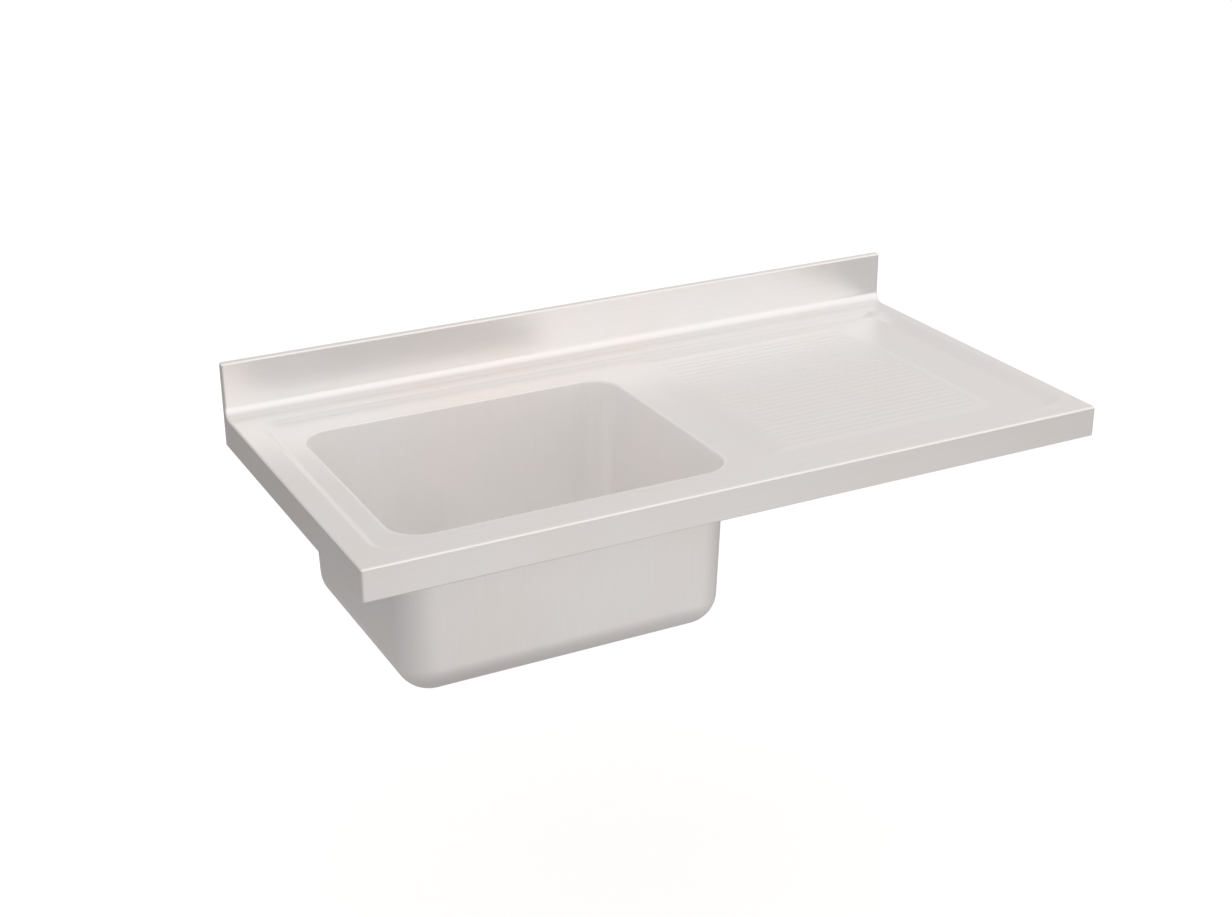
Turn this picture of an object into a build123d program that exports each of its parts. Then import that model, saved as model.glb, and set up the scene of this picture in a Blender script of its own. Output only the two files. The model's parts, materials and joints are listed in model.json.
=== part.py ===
from build123d import *
import os
from math import atan2, cos, degrees, radians, sin, tan

# Stainless steel catering sink top: one drawn bowl on the left, a ribbed drainer on the right,
# an upstand along the wall and a folded skirt all round, with a basket strainer waste.
#
# Frame: X along the top, Y from the wall (0) to the user (negative), Z up.
# Z = 0 is the underside of the folded skirts, where the top rests on its frame.

# ---------------------------------------------------------------- driving dimensions, mm
LENGTH = 1200.0
DEPTH = 600.0
SKIRT = 50.0
UPSTAND = 87.0
SHEET = 1.2
LIP = 20.0
NOSE_RADIUS = 4.0
COVE_RADIUS = 18.0
UPSTAND_BOX = 12.0
UPSTAND_RETURN = 12.0
FOLD_RADIUS = 2.0
UPSTAND_FOLD = 4.0
END_RADIUS = 3.5
REAR_FLANGE = 44.0

# stiffening rail behind the front skirt, a hat section under the rim
FRONT_RAIL_Y = -580.0
FRONT_RAIL_FLANGE = 7.0
FRONT_RAIL_WEB = 16.0
FRONT_RAIL_HIGH = 22.0
FRONT_RAIL_GAP = 8.0

# bonding tag inside the rear skirt
TAG_X = (440.0, 458.0)
TAG_LOW = 24.0
TAG_HIGH = 40.0
TAG_REACH = 22.0
TAG_HOLE_Y = -14.0
TAG_HOLE_RADIUS = 2.7

# pressed tray, measured to the sharp edges of its sloping sides
TRAY_DEEP = 7.0
TRAY_TOP = (-563.0, 577.0, -560.0, -58.0)
TRAY_SLOPE = (8.0, 25.0, 8.0, 8.0)
TRAY_CORNER = 30.0
TRAY_FOOT_CORNER = 22.0
PRESS_RADIUS = 10.0
PATCH_MARGIN = 6.0
FORM_THICK = 80.0

# drainer panel, raised a little above the tray and falling to the left
PANEL_FOOT = (50.0, 475.0, -514.0, -80.0)
PANEL_TOP = (90.0, 461.0, -500.0, -94.0)
PANEL_RISE_LEFT = 1.6
PANEL_RISE_RIGHT = 3.0
PANEL_CORNER = 24.0
RIB_COUNT = 26
RIB_PITCH = 15.0
RIB_FIRST_Y = -488.5
RIB_ENDS = (106.0, 450.0)
RIB_HIGH = 0.7
RIB_WIDE = 7.0

# bowl, measured inside at its mouth
BOWL_LENGTH = 520.0
BOWL_WIDE = 414.0
BOWL_DEEP = 260.0
BOWL_CENTRE = (-260.0, -320.0)
BOWL_CORNER = 50.0
BOWL_FLOOR_RADIUS = 48.0
BOWL_EDGE_RADIUS = 3.0
BOWL_DRAFT = 1.8
BOWL_FLANGE = 2.0
FLOOR_FALL = 7.0
FLOOR_FALL_FIELD = (384.0, 282.0, 12.0)
WASTE_SEAT = 118.0
WASTE_HOLE_RADIUS = 44.5

# stiffening under the top
HAT_FLANGE = 12.0
HAT_WEB = 36.0
HAT_HIGH = 25.0
CROSS_CHANNELS = {"left": 62.0, "middle": 250.0, "right": 438.0}
CROSS_CHANNEL_ENDS = (-534.0, -70.0)
PAD_THICK = 3.0
DRAINER_PADS = {"left": (100.0, 212.0), "right": (288.0, 400.0)}
DRAINER_PAD_ENDS = (-490.0, -104.0)
BOWL_PADS = {"left": (-430.0, -340.0), "right": (-180.0, -90.0)}
BOWL_PAD_ENDS = (-440.0, -200.0)

# corner plates with the frame's bolt holes
PLATE_THICK = 3.0
PLATE_GAP = 2.0
PLATE_SIDE = 88.0
PLATE_CHAMFER = 50.0
BOLT_INSET = 40.0
BOLT_HOLE_RADIUS = 4.5

# basket strainer waste
CUP_WALL = 1.5
FLANGE_RADIUS = 56.0
GASKET_THICK = 1.5
CUP_MOUTH_RADIUS = 42.0
CUP_RADIUS = 39.0
CUP_LEDGE = 5.0
CUP_DEEP = 49.5
OUTLET_RADIUS = 23.9
OUTLET_LONG = 22.0
CLAMP_GASKET_THICK = 3.0
SLIP_WASHER_THICK = 1.0
NUT_HIGH = 14.0
NUT_RADIUS = 51.0
NUT_LUGS = 6
NUT_LUG = (12.0, 10.0)
THREAD_GAP = 0.1
BASKET_SHEET = 0.8
BASKET_DEEP = 30.0
BASKET_PLAY = 0.6
BASKET_HOLE_RADIUS = 2.0
BASKET_HOLE_RINGS = ((8, 12.0), (14, 20.0), (20, 28.0))
BASKET_SLOTS = 18
BASKET_SLOT = (3.0, 14.0)
POST_RADIUS = 3.0
POST_RUNNING_GAP = 0.08
PLUG_THICK = 4.0
PLUG_RADIUS = 27.0
KNOB_RADIUS = 11.0
KNOB_HIGH = 14.0
KNOB_SUNK = 4.0
COLLAR_RADIUS = 8.0
FOOT_COLLAR_RADIUS = 6.0
COLLAR_THICK = 1.5

# ---------------------------------------------------------------- derived places
HALF = LENGTH / 2
RIM_Z = SKIRT
TOP_Z = SKIRT + UPSTAND
TRAY_Z = RIM_Z - TRAY_DEEP
INNER_END = HALF - SHEET
SHEET_END = HALF - END_RADIUS
FLOOR_Z = TRAY_Z - BOWL_DEEP
SEAT_Z = FLOOR_Z - FLOOR_FALL
WASTE = BOWL_CENTRE

os.makedirs("parts", exist_ok=True)


def save(node, shape):
    export_step(shape, f"parts/{node}.step")


# ---------------------------------------------------------------- shared shapes
def folded(points, radii, thickness):
    """Section of a folded sheet, along its middle line."""
    return trace(FilletPolyline(*points, radius=radii), thickness)


def along_x(section, start, end):
    """A section drawn in Y and Z, drawn out along X."""
    return extrude(Plane((start, 0, 0), x_dir=(0, 1, 0), z_dir=(1, 0, 0)) * section, amount=end - start)


def along_y(section, start, end):
    """A section drawn in X and Z, drawn out along Y."""
    plane = Plane((0, end, 0), x_dir=(1, 0, 0), z_dir=(0, -1, 0))
    return extrude(plane * section, amount=end - start)


def block(x0, x1, y0, y1, z0, z1):
    return Pos((x0 + x1) / 2, (y0 + y1) / 2, (z0 + z1) / 2) * Box(x1 - x0, y1 - y0, z1 - z0)


def outline(bounds, radius, z):
    """Rounded rectangle between (x0, x1, y0, y1) at height z."""
    x0, x1, y0, y1 = bounds
    return Pos((x0 + x1) / 2, (y0 + y1) / 2, z) * RectangleRounded(x1 - x0, y1 - y0, radius)


def about_waste(section):
    """A section drawn in radius and Z, turned about the waste's axis."""
    return Pos(*WASTE, 0) * revolve(Plane.XZ * section, axis=Axis.Z)


def washer(outer, inner, low, high):
    return about_waste(Pos((outer + inner) / 2, (low + high) / 2) * Rectangle(outer - inner, high - low))


def edges_at(solid, z, tolerance=0.01):
    """Edges that lie wholly at height z."""
    return [e for e in solid.edges() if abs(e.bounding_box().min.Z - z) < tolerance
            and abs(e.bounding_box().max.Z - z) < tolerance]


def inside(edges, bounds, margin=1.0):
    """The edges whose middle lies between (x0, x1, y0, y1), with a margin."""
    x0, x1, y0, y1 = bounds
    return [e for e in edges if x0 - margin < e.center().X < x1 + margin
            and y0 - margin < e.center().Y < y1 + margin]


# ---------------------------------------------------------------- pressed tray and drainer
def panel_rise(x):
    """Height of the drainer panel above the tray at x."""
    x0, x1 = PANEL_TOP[:2]
    return PANEL_RISE_LEFT + (PANEL_RISE_RIGHT - PANEL_RISE_LEFT) * (x - x0) / (x1 - x0)


PANEL_TILT = degrees(atan2(PANEL_RISE_RIGHT - PANEL_RISE_LEFT, PANEL_TOP[1] - PANEL_TOP[0]))


def drainer_panel():
    x0, x1, y0, y1 = PANEL_TOP
    middle = ((x0 + x1) / 2, (y0 + y1) / 2, TRAY_Z + (panel_rise(x0) + panel_rise(x1)) / 2)
    slope = radians(PANEL_TILT)
    tilted = Plane(middle, x_dir=(cos(slope), 0, sin(slope)), z_dir=(-sin(slope), 0, cos(slope)))
    top = tilted * RectangleRounded((x1 - x0) / cos(slope), y1 - y0, PANEL_CORNER - 6)
    return loft([outline(PANEL_FOOT, PANEL_CORNER, TRAY_Z), top], ruled=True)


def rib(y):
    """A low round-backed rib that follows the panel, with rounded ends."""
    radius = (RIB_WIDE**2 / 4 + RIB_HIGH**2) / (2 * RIB_HIGH)
    x0, x1 = RIB_ENDS
    sunk = TRAY_Z + RIB_HIGH - radius
    length = (x1 - x0) / cos(radians(PANEL_TILT))
    start = Vector(x0, y, sunk + panel_rise(x0))
    lying = Rot(0, 90 - PANEL_TILT, 0)
    bar = Pos(start) * lying * Cylinder(radius, length, align=(Align.CENTER, Align.CENTER, Align.MIN))
    ends = [Pos(x, y, sunk + panel_rise(x)) * Sphere(radius) for x in RIB_ENDS]
    return bar + ends


def pressed_form():
    """Solid whose upper side is the pressed tray with its drainer panel and ribs."""
    x0, x1, y0, y1 = TRAY_TOP
    left, right, front, rear = TRAY_SLOPE
    m = PATCH_MARGIN
    form = block(x0 - m, x1 + m, y0 - m, y1 + m, RIM_Z - FORM_THICK, RIM_Z)
    foot = (x0 + left, x1 - right, y0 + front, y1 - rear)
    form -= loft([outline(foot, TRAY_FOOT_CORNER, TRAY_Z), outline(TRAY_TOP, TRAY_CORNER, RIM_Z)], ruled=True)
    form = fillet(inside(edges_at(form, RIM_Z), TRAY_TOP), PRESS_RADIUS)
    form = fillet(inside(edges_at(form, TRAY_Z), foot), PRESS_RADIUS)
    form += drainer_panel()
    for number in range(RIB_COUNT):
        form += rib(RIB_FIRST_Y + number * RIB_PITCH)
    return form


def bowl_ring():
    """Bounds and corner radius of the seam between the bowl's flange and the top."""
    reach = BOWL_EDGE_RADIUS + BOWL_FLANGE
    x, y = BOWL_CENTRE
    half_x = BOWL_LENGTH / 2 + reach
    half_y = BOWL_WIDE / 2 + reach
    return (x - half_x, x + half_x, y - half_y, y + half_y), BOWL_CORNER + reach


def ring_prism(low, high):
    bounds, radius = bowl_ring()
    return extrude(outline(bounds, radius, low), amount=high - low)


def worktop_sheet():
    half = SHEET / 2
    section = folded(
        [
            (-DEPTH + LIP, half),
            (-DEPTH + half, half),
            (-DEPTH + half, RIM_Z - half),
            (-UPSTAND_BOX + half, RIM_Z - half),
            (-UPSTAND_BOX + half, TOP_Z - half),
            (-half, TOP_Z - half),
            (-half, TOP_Z - UPSTAND_RETURN),
        ],
        [FOLD_RADIUS, NOSE_RADIUS - half, COVE_RADIUS + half, UPSTAND_FOLD - half, UPSTAND_FOLD - half],
        SHEET,
    )
    top = along_x(section, -SHEET_END, SHEET_END)
    x0, x1, y0, y1 = TRAY_TOP
    m = PATCH_MARGIN
    top -= block(x0 - m, x1 + m, y0 - m, y1 + m, RIM_Z - TRAY_DEEP, RIM_Z + TRAY_DEEP)
    form = pressed_form()
    top += form - Pos(0, 0, -SHEET) * form
    return top - ring_prism(TRAY_Z - 2 * TRAY_DEEP, TRAY_Z + TRAY_DEEP)


# ---------------------------------------------------------------- bowl
def bowl_form(grow):
    """Filled form of the bowl's inside, grown outwards by grow."""
    x, y = BOWL_CENTRE
    corner = BOWL_CORNER + grow
    mouth = RectangleRounded(BOWL_LENGTH + 2 * grow, BOWL_WIDE + 2 * grow, corner)
    narrow = grow - (BOWL_DEEP + grow) * tan(radians(BOWL_DRAFT))
    floor = RectangleRounded(BOWL_LENGTH + 2 * narrow, BOWL_WIDE + 2 * narrow, corner)
    form = loft([Pos(x, y, FLOOR_Z - grow) * floor, Pos(x, y, TRAY_Z) * mouth], ruled=True)
    form = fillet(edges_at(form, FLOOR_Z - grow), BOWL_FLOOR_RADIUS + grow)
    wide, deep, field_corner = FLOOR_FALL_FIELD
    field = Pos(x, y, FLOOR_Z - grow) * RectangleRounded(wide, deep, field_corner)
    seat = Pos(x, y, SEAT_Z - grow) * RectangleRounded(WASTE_SEAT, WASTE_SEAT, WASTE_SEAT / 2 - 0.5)
    form += loft([seat, field], ruled=True)
    cap_z = TRAY_Z - grow
    form += block(x - 400, x + 400, y - 350, y + 350, cap_z, TRAY_Z + 20)
    return fillet(inside(edges_at(form, cap_z), bowl_ring()[0]), BOWL_EDGE_RADIUS - grow)


def bowl(inner, outer):
    shell = (outer - inner) & ring_prism(SEAT_Z - 50, TRAY_Z)
    return shell - Pos(*WASTE, SEAT_Z) * Cylinder(WASTE_HOLE_RADIUS, 40)


def bowl_pad(outer, ends):
    """Deadening pad glued under the bowl, following its sloping floor."""
    x0, x1 = ends
    y0, y1 = BOWL_PAD_ENDS
    under = Pos(0, 0, -PAD_THICK) * outer - outer
    return under & block(x0, x1, y0, y1, SEAT_Z - 30, FLOOR_Z + 5)


# ---------------------------------------------------------------- skirts and end plates
def end_form(inset, foot):
    """Filled right-hand end of the top and upstand, with all its end edges rounded."""
    front = -DEPTH + inset
    step = -UPSTAND_BOX + inset
    rim = RIM_Z - inset
    top = TOP_Z - inset
    nose = NOSE_RADIUS - inset
    cove = COVE_RADIUS + inset
    fold = UPSTAND_FOLD - inset
    lines = [
        Polyline((-inset, top - fold), (-inset, foot), (front, foot), (front, rim - nose)),
        RadiusArc((front, rim - nose), (front + nose, rim), nose),
        Line((front + nose, rim), (step - cove, rim)),
        RadiusArc((step - cove, rim), (step, rim + cove), -cove),
        Line((step, rim + cove), (step, top - fold)),
        RadiusArc((step, top - fold), (step + fold, top), fold),
        Line((step + fold, top), (-inset - fold, top)),
        RadiusArc((-inset - fold, top), (-inset, top - fold), fold),
    ]
    end = HALF - inset
    form = along_x(make_face(lines), SHEET_END - LIP, end)
    end_edges = [e for e in form.edges() if e.bounding_box().min.X > end - 0.01 and e.center().Z > foot]
    return fillet(end_edges, END_RADIUS - inset)


def end_shell():
    """Right-hand end wall with its turned edges, from the skirt's foot to the upstand's top."""
    shell = end_form(0.0, 0.0) - end_form(SHEET, -SKIRT)
    return shell & block(SHEET_END, HALF, -DEPTH, 0, 0, TOP_Z)


def end_panel(shell, side):
    """End wall up to the rim, with its folded lip."""
    wall = shell & block(SHEET_END, HALF, -DEPTH, 0, 0, RIM_Z)
    lip = block(INNER_END - LIP + SHEET, INNER_END, -DEPTH + LIP, -LIP, 0, SHEET)
    panel = wall + lip
    return panel if side > 0 else mirror(panel, about=Plane.YZ)


def upstand_cap(shell, side):
    """End wall of the upstand, down to the rim."""
    cap = shell & block(SHEET_END, HALF, -DEPTH, 0, RIM_Z, TOP_Z)
    return cap if side > 0 else mirror(cap, about=Plane.YZ)


def rear_skirt():
    """Web along the wall plane, with a flange under the rim and a lip at the foot."""
    under_rim = RIM_Z - SHEET
    end = SHEET_END
    web = block(-end, end, -SHEET, 0, 0, under_rim)
    flange = block(-end, end, -REAR_FLANGE, -SHEET, under_rim - SHEET, under_rim)
    lip = block(-end, end, -LIP, -SHEET, 0, SHEET)
    return web + flange + lip


def hat(centre, top, flange, web, high):
    """Hat section hanging under height top: two flanges, two sides and a bottom."""
    half = SHEET / 2
    foot = web / 2
    reach = foot + flange
    points = [
        (centre - reach, top - half),
        (centre - foot, top - half),
        (centre - foot, top - high + half),
        (centre + foot, top - high + half),
        (centre + foot, top - half),
        (centre + reach, top - half),
    ]
    return folded(points, [FOLD_RADIUS] * 4, SHEET)


def front_rail():
    section = hat(FRONT_RAIL_Y, RIM_Z - SHEET, FRONT_RAIL_FLANGE, FRONT_RAIL_WEB, FRONT_RAIL_HIGH)
    end = INNER_END - FRONT_RAIL_GAP
    return along_x(section, -end, end)


def cross_channel(x):
    section = hat(x, TRAY_Z - SHEET, HAT_FLANGE, HAT_WEB, HAT_HIGH)
    return along_y(section, *CROSS_CHANNEL_ENDS)


def drainer_pad(ends):
    x0, x1 = ends
    under = TRAY_Z - SHEET
    corners = [
        (x0, under + panel_rise(x0)),
        (x1, under + panel_rise(x1)),
        (x1, under + panel_rise(x1) - PAD_THICK),
        (x0, under + panel_rise(x0) - PAD_THICK),
    ]
    return along_y(make_face(Polyline(*corners, close=True)), *DRAINER_PAD_ENDS)


def corner_plate(side, rear):
    """Plate on the folded lips in one corner, with a bolt hole for the frame."""
    inwards = -1 if rear else 1
    outer_x = INNER_END - PLATE_GAP
    outer_y = (0 if rear else -DEPTH) + inwards * (SHEET + PLATE_GAP)
    side_y = outer_y + inwards * PLATE_SIDE
    points = [
        (outer_x, outer_y),
        (outer_x - PLATE_SIDE, outer_y),
        (outer_x - PLATE_SIDE, side_y - inwards * PLATE_CHAMFER),
        (outer_x - PLATE_SIDE + PLATE_CHAMFER, side_y),
        (outer_x, side_y),
    ]
    face = Pos(0, 0, SHEET) * make_face(Polyline(*points, close=True))
    plate = extrude(face, amount=PLATE_THICK, dir=(0, 0, 1))
    hole_y = -BOLT_INSET if rear else -DEPTH + BOLT_INSET
    plate -= Pos(HALF - BOLT_INSET, hole_y, SHEET) * Cylinder(BOLT_HOLE_RADIUS, 4 * PLATE_THICK)
    return plate if side > 0 else mirror(plate, about=Plane.YZ)


def earth_tag():
    """Bonding tag welded to the rear skirt's inner side."""
    back = -SHEET * 3 / 2
    section = folded([(back, TAG_HIGH), (back, TAG_LOW), (-TAG_REACH, TAG_LOW)], [FOLD_RADIUS], SHEET)
    tag = along_x(section, *TAG_X)
    return tag - Pos(sum(TAG_X) / 2, TAG_HOLE_Y, TAG_LOW) * Cylinder(TAG_HOLE_RADIUS, 6)


# ---------------------------------------------------------------- waste
FLANGE_TOP = SEAT_Z + GASKET_THICK + CUP_WALL
LEDGE_Z = FLANGE_TOP - CUP_LEDGE
CUP_FLOOR_Z = LEDGE_Z - CUP_DEEP + CUP_LEDGE
OUTLET_Z = CUP_FLOOR_Z - CUP_WALL - OUTLET_LONG
UNDER_BOWL = SEAT_Z - SHEET


def strainer_body():
    half = CUP_WALL / 2
    points = [
        (FLANGE_RADIUS, FLANGE_TOP - half),
        (CUP_MOUTH_RADIUS + half, FLANGE_TOP - half),
        (CUP_MOUTH_RADIUS + half, LEDGE_Z - half),
        (CUP_RADIUS + half, LEDGE_Z - half),
        (CUP_RADIUS + half, CUP_FLOOR_Z - half),
        (OUTLET_RADIUS - half, CUP_FLOOR_Z - half),
        (OUTLET_RADIUS - half, OUTLET_Z),
    ]
    return about_waste(folded(points, [1.5, 1.0, 1.0, 3.0, 1.5], CUP_WALL))


def lock_nut():
    top = UNDER_BOWL - CLAMP_GASKET_THICK - SLIP_WASHER_THICK
    inner = CUP_RADIUS + CUP_WALL + THREAD_GAP
    nut = washer(NUT_RADIUS, inner, top - NUT_HIGH, top)
    lug = Pos(NUT_RADIUS, 0, top - NUT_HIGH / 2) * Box(*NUT_LUG, NUT_HIGH)
    for number in range(NUT_LUGS):
        nut += Pos(*WASTE, 0) * Rot(0, 0, 360 / NUT_LUGS * number) * lug
    return nut


def strainer_basket():
    half = BASKET_SHEET / 2
    wall = CUP_RADIUS - BASKET_PLAY - half
    floor = LEDGE_Z + half - BASKET_DEEP
    points = [
        (CUP_MOUTH_RADIUS - 0.4, LEDGE_Z + half),
        (wall, LEDGE_Z + half),
        (wall, floor),
        (POST_RADIUS + POST_RUNNING_GAP, floor),
    ]
    basket = about_waste(folded(points, [1.2, 5.0], BASKET_SHEET))
    cutters = []
    for count, radius in BASKET_HOLE_RINGS:
        for number in range(count):
            turn = Rot(0, 0, 360 / count * number)
            cutters.append(Pos(*WASTE, floor) * turn * Pos(radius, 0, 0) * Cylinder(BASKET_HOLE_RADIUS, 4))
    for number in range(BASKET_SLOTS):
        slot = Pos(wall, 0, LEDGE_Z - BASKET_DEEP / 2) * Box(6, *BASKET_SLOT)
        cutters.append(Pos(*WASTE, 0) * Rot(0, 0, 360 / BASKET_SLOTS * number) * slot)
    return basket - cutters


def basket_post():
    """Knob, stem and the two collars that hold the rubber plug."""
    plug_top = CUP_FLOOR_Z + PLUG_THICK
    knob_top = FLANGE_TOP - KNOB_SUNK
    r = POST_RADIUS
    profile = Polyline(
        (0, CUP_FLOOR_Z - COLLAR_THICK),
        (FOOT_COLLAR_RADIUS, CUP_FLOOR_Z - COLLAR_THICK),
        (FOOT_COLLAR_RADIUS, CUP_FLOOR_Z),
        (r, CUP_FLOOR_Z),
        (r, plug_top),
        (COLLAR_RADIUS, plug_top),
        (COLLAR_RADIUS, plug_top + COLLAR_THICK),
        (r, plug_top + COLLAR_THICK),
        (r, knob_top - KNOB_HIGH),
        (KNOB_RADIUS - 4, knob_top - KNOB_HIGH + 2),
        (KNOB_RADIUS, knob_top - 5),
        (KNOB_RADIUS - 1, knob_top - 1),
        (KNOB_RADIUS - 4, knob_top),
        (0, knob_top),
        close=True,
    )
    return about_waste(make_face(profile))


def basket_plug():
    """Rubber plug that closes the outlet, with a rounded rim."""
    low = CUP_FLOOR_Z
    high = low + PLUG_THICK
    profile = Polyline(
        (POST_RADIUS, low),
        (PLUG_RADIUS - 2, low),
        (PLUG_RADIUS, low + 1.2),
        (PLUG_RADIUS - 1, high - 1),
        (COLLAR_RADIUS + 1.5, high - 1),
        (COLLAR_RADIUS + 1, high),
        (POST_RADIUS, high),
        close=True,
    )
    return about_waste(make_face(profile))


def main():
    save("worktop_sheet", worktop_sheet())
    inner = bowl_form(0.0)
    outer = bowl_form(SHEET)
    save("bowl", bowl(inner, outer))
    for name, ends in BOWL_PADS.items():
        save(f"bowl_pad_{name}", bowl_pad(outer, ends))
    save("rear_skirt", rear_skirt())
    save("front_rail", front_rail())
    save("earth_tag", earth_tag())
    shell = end_shell()
    for name, side in (("left", -1), ("right", 1)):
        save(f"end_panel_{name}", end_panel(shell, side))
        save(f"upstand_cap_{name}", upstand_cap(shell, side))
        save(f"corner_plate_front_{name}", corner_plate(side, False))
        save(f"corner_plate_rear_{name}", corner_plate(side, True))
    for name, x in CROSS_CHANNELS.items():
        save(f"cross_channel_{name}", cross_channel(x))
    for name, ends in DRAINER_PADS.items():
        save(f"drainer_pad_{name}", drainer_pad(ends))
    save("strainer_body", strainer_body())
    save("body_gasket", washer(FLANGE_RADIUS - 2, WASTE_HOLE_RADIUS, SEAT_Z, SEAT_Z + GASKET_THICK))
    gasket_low = UNDER_BOWL - CLAMP_GASKET_THICK
    slip_low = gasket_low - SLIP_WASHER_THICK
    save("clamp_gasket", washer(FLANGE_RADIUS, CUP_MOUTH_RADIUS + 2, gasket_low, UNDER_BOWL))
    save("slip_washer", washer(FLANGE_RADIUS - 1, CUP_MOUTH_RADIUS + 2, slip_low, gasket_low))
    save("lock_nut", lock_nut())
    save("strainer_basket", strainer_basket())
    save("basket_post", basket_post())
    save("basket_plug", basket_plug())


if __name__ == "__main__":
    main()
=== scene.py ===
import json
from math import atan2, cos, pi, radians, sin, tan

import bmesh
import bpy
from bpy.props import FloatProperty, FloatVectorProperty, IntProperty, PointerProperty
from mathutils import Matrix, Vector

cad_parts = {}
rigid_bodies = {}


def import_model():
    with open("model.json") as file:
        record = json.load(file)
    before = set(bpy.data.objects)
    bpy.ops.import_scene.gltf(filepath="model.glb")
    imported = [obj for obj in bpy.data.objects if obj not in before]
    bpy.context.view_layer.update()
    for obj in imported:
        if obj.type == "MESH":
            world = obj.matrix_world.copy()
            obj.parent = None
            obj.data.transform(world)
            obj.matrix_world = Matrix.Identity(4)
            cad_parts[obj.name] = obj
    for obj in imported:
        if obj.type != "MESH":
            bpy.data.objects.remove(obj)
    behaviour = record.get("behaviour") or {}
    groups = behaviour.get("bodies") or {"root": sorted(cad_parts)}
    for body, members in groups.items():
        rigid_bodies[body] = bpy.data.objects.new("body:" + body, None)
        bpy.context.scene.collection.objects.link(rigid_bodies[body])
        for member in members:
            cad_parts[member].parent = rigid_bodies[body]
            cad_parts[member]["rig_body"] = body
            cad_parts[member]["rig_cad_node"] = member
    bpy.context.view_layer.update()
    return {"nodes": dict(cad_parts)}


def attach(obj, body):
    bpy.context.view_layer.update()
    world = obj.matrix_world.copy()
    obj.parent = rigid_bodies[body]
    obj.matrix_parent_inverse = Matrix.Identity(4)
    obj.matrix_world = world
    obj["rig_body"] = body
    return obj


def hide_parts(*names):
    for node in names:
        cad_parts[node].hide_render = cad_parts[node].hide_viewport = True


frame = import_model()

bl_info = {
    "name": "Catering sink top",
    "version": (1, 0, 0),
    "blender": (4, 5, 0),
    "location": "View3D > Sidebar > Sink",
    "description": "Dresses a stainless steel catering sink top with a drawn bowl and a ribbed drainer",
    "category": "Object",
}

MM = 0.001
# How far apart two places may be and still count as one.
LOOSE = 1e-4
SLACK = 1e-5
FINE = 1e-7
MERGE = 2e-6
TOP_BODY = "sink_top"
BASKET_BODY = "strainer_basket"
PLUG_BODY = "plug_post"
# Edges that turn by fewer degrees than this are shaded smooth, and large faces steer the shading this much.
SMOOTH_ANGLE = 35.0
FLAT_WEIGHT = 75


def length(name, description, millimetres):
    return FloatProperty(name=name, description=description, default=millimetres * MM, unit="LENGTH",
                         precision=5)


def colour(name, description, value):
    return FloatVectorProperty(name=name, description=description, default=value, subtype="COLOR", size=3,
                               min=0.0, max=1.0)


def share(name, description, value):
    return FloatProperty(name=name, description=description, default=value, min=0.0, max=1.0,
                         subtype="FACTOR")


# ---------------------------------------------------------------- sizes and colours a user may change
class SheetSizes(bpy.types.PropertyGroup):
    """Sizes of the folded and pressed top."""

    length: length("Length", "Length of the top along the wall", 1200)
    depth: length("Depth", "Depth of the top from the wall to the front", 600)
    skirt: length("Skirt", "Height of the skirts under the rim", 50)
    upstand: length("Upstand", "Height of the upstand over the rim", 87)
    box: length("Upstand box", "Depth of the folded upstand", 12)
    sheet: length("Sheet", "Thickness of the steel sheet", 1.2)
    lip: length("Lip", "Width of the lips folded in under the skirts", 20)
    nose: length("Nose radius", "Radius of the front edge", 4)
    cove: length("Cove radius", "Radius between the top and the upstand", 18)
    fold: length("Fold radius", "Radius of the upstand's top folds", 4)
    foot: length("Foot radius", "Radius of the fold at the foot of the front skirt", 2.6)
    end: length("End radius", "Radius of the ground end edges", 3.5)
    tray_deep: length("Tray depth", "Depth of the pressed tray under the rim", 7)
    press: length("Press edge", "Width of the soft edges of the pressed forms", 3)
    crown: length("Crown", "Fall of the rim to its front edge", 0.8)


class DrainerSizes(bpy.types.PropertyGroup):
    """Sizes of the raised drainer panel and its ribs."""

    rise_left: length("Left rise", "Height of the drainer panel at its bowl end", 1.6)
    rise_right: length("Right rise", "Height of the drainer panel at its far end", 3.0)
    rib_pitch: length("Rib pitch", "Distance between the drainer's ribs", 15)
    rib_high: length("Rib height", "Height of one rib", 0.7)
    rib_wide: length("Rib width", "Width of one rib at its foot", 7.0)
    ribs: IntProperty(name="Ribs", description="Number of ribs", default=26, min=1, max=60)


class BowlSizes(bpy.types.PropertyGroup):
    """Sizes of the drawn bowl, measured inside."""

    length: length("Length", "Length of the bowl at its mouth", 520)
    width: length("Width", "Width of the bowl at its mouth", 414)
    deep: length("Depth", "Depth from the tray to the floor", 260)
    corner: length("Corner radius", "Radius of the upright corners", 50)
    floor: length("Floor radius", "Radius between walls and floor", 48)
    edge: length("Edge radius", "Radius of the rolled mouth", 3)
    flange: length("Flange", "Flat flange outside the rolled mouth", 2)
    draft: FloatProperty(name="Draft", description="Slope of the walls", default=radians(1.8),
                         subtype="ANGLE")
    fall: length("Fall", "Fall of the floor towards the waste", 7)


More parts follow.
